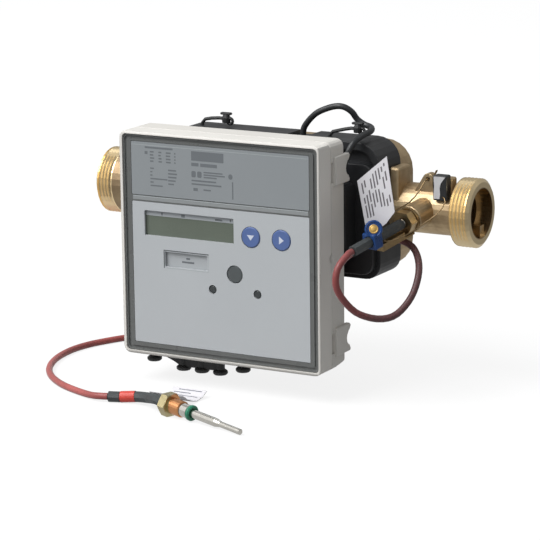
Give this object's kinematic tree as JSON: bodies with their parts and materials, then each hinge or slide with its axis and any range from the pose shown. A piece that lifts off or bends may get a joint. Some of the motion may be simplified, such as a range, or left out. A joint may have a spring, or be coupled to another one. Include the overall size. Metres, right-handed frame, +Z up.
{
  "type": "ultrasonic heat meter",
  "caption": "Ultrasonic heat meter: calculator box on a threaded brass flow sensor, with one fitted and one loose temperature sensor on red leads.",
  "frame": {"origin": "centre of the inlet's end face, on the pipe axis", "axes": "+X along the pipe from inlet to outlet, -Y towards the calculator's face, +Z up"},
  "size_m": [0.2719, 0.2294, 0.1694],
  "materials": {
    "light_plastic": "fine texture",
    "grey_band": "satin",
    "label_foil": "satin",
    "panel_foil": "satin",
    "lcd_glass": "clear gloss over a grey-green display",
    "blue_key": "satin",
    "dark_lens": "gloss",
    "board_green": "lacquered board",
    "cell_wrap": "satin wrap",
    "black_plastic": "fine texture",
    "black_rubber": "matt",
    "cast_brass": "bright pipe, darker cast body",
    "olive_brass": "dull",
    "steel": "satin",
    "red_lead": "silicone",
    "red_band": "matt",
    "green_ring": "satin",
    "blue_seal": "satin",
    "white_tag": "matt",
    "sleeve_grey": "shrunk sleeve",
    "white_shell": "plain"
  },
  "bodies": {
    "root": {"housing_base": "light_plastic", "front_hood": "light_plastic", "band_frame": "grey_band", "label_panel": "label_foil", "face_panel": "panel_foil", "lcd_glass": "lcd_glass", "lcd_carrier": "white_shell", "window_plate": "white_shell", "switch_down": "black_plastic", "switch_right": "black_plastic", "optical_lens": "dark_lens", "plug_left": "dark_lens", "plug_right": "dark_lens", "circuit_board": "board_green", "battery_pack": "cell_wrap", "terminal_block": "black_plastic", "comm_module": "board_green", "plug_strip": "black_rubber", "plug_single": "black_rubber", "hood_seal": "light_plastic", "adapter_plate": "black_plastic", "grommet_port_lead": "black_rubber", "grommet_loose_lead": "black_rubber", "grommet_control": "black_rubber", "flow_body": "cast_brass", "sensor_cover": "black_plastic", "transducer_inlet": "steel", "transducer_outlet": "steel", "transducer_seal_inlet": "black_rubber", "transducer_seal_outlet": "black_rubber", "measuring_tube": "white_shell", "reflector_inlet": "steel", "reflector_outlet": "steel", "control_cable": "black_rubber", "tie_left": "black_rubber", "tie_right": "black_rubber", "seal_cap": "black_plastic", "port_probe": "steel", "port_nut": "cast_brass", "port_ring": "black_rubber", "port_sleeve": "sleeve_grey", "seal_bracket": "cast_brass", "seal_wire": "steel", "wire_seal": "blue_seal", "port_tag": "white_tag", "loose_probe": "steel", "loose_ring": "green_ring", "loose_sleeve": "sleeve_grey", "loose_band": "red_band", "loose_tag": "white_tag", "port_lead_loop": "red_lead", "port_lead_coil": "red_lead", "port_lead_tail": "red_lead", "loose_lead_run": "red_lead", "loose_lead_coil": "red_lead", "loose_lead_tail": "red_lead"},
    "button_down": {"button_down": "blue_key"},
    "button_right": {"button_right": "blue_key"},
    "loose_nut": {"loose_nut": "olive_brass"}
  },
  "joints": [
    {"name": "button_down_press", "type": "slide", "parent": "root", "child": "button_down", "axis": [0, 1, 0], "range_m": [0, 0.0008], "stiffness_N_per_m": 400},
    {"name": "button_right_press", "type": "slide", "parent": "root", "child": "button_right", "axis": [0, 1, 0], "range_m": [0, 0.0008], "stiffness_N_per_m": 400},
    {"name": "loose_nut_spin", "type": "hinge", "parent": "root", "child": "loose_nut", "pos_m": [0.12475, -0.13588, -0.10148], "axis": [-0.9529, 0.2932, 0.0774], "continuous": true}
  ]
}
